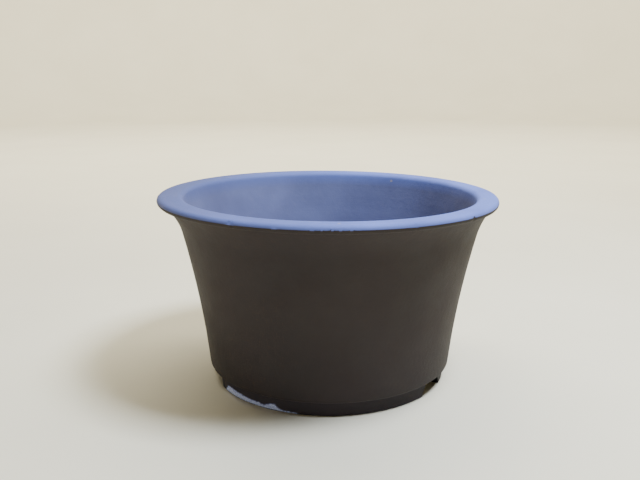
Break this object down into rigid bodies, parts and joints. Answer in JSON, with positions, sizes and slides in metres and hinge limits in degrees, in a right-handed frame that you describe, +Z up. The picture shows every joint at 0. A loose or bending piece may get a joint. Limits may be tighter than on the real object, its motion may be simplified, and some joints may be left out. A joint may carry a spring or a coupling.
{
  "type": "bonsai pot",
  "caption": "Round flared bonsai pot in dark unglazed stoneware, with a flat everted lip, a notched foot ring and a screened drain hole.",
  "frame": {"origin": "on the pot's axis, in the plane that its feet stand on", "axes": "+Z up along the pot's axis, -Y towards the front foot's middle, +X to the right as seen from the front"},
  "size_m": [0.18, 0.18, 0.0996],
  "materials": {
    "stoneware": "matte unglazed dark purple-brown stoneware with a soft sheen",
    "screen_plastic": "matte black extruded mesh",
    "clip_wire": "brown anodised soft wire"
  },
  "bodies": {
    "root": {"rim_lip": "stoneware", "body_wall": "stoneware", "floor_slab": "stoneware", "foot_front": "stoneware", "foot_right": "stoneware", "foot_left": "stoneware", "drain_screen": "screen_plastic", "screen_clip": "clip_wire"}
  },
  "joints": []
}
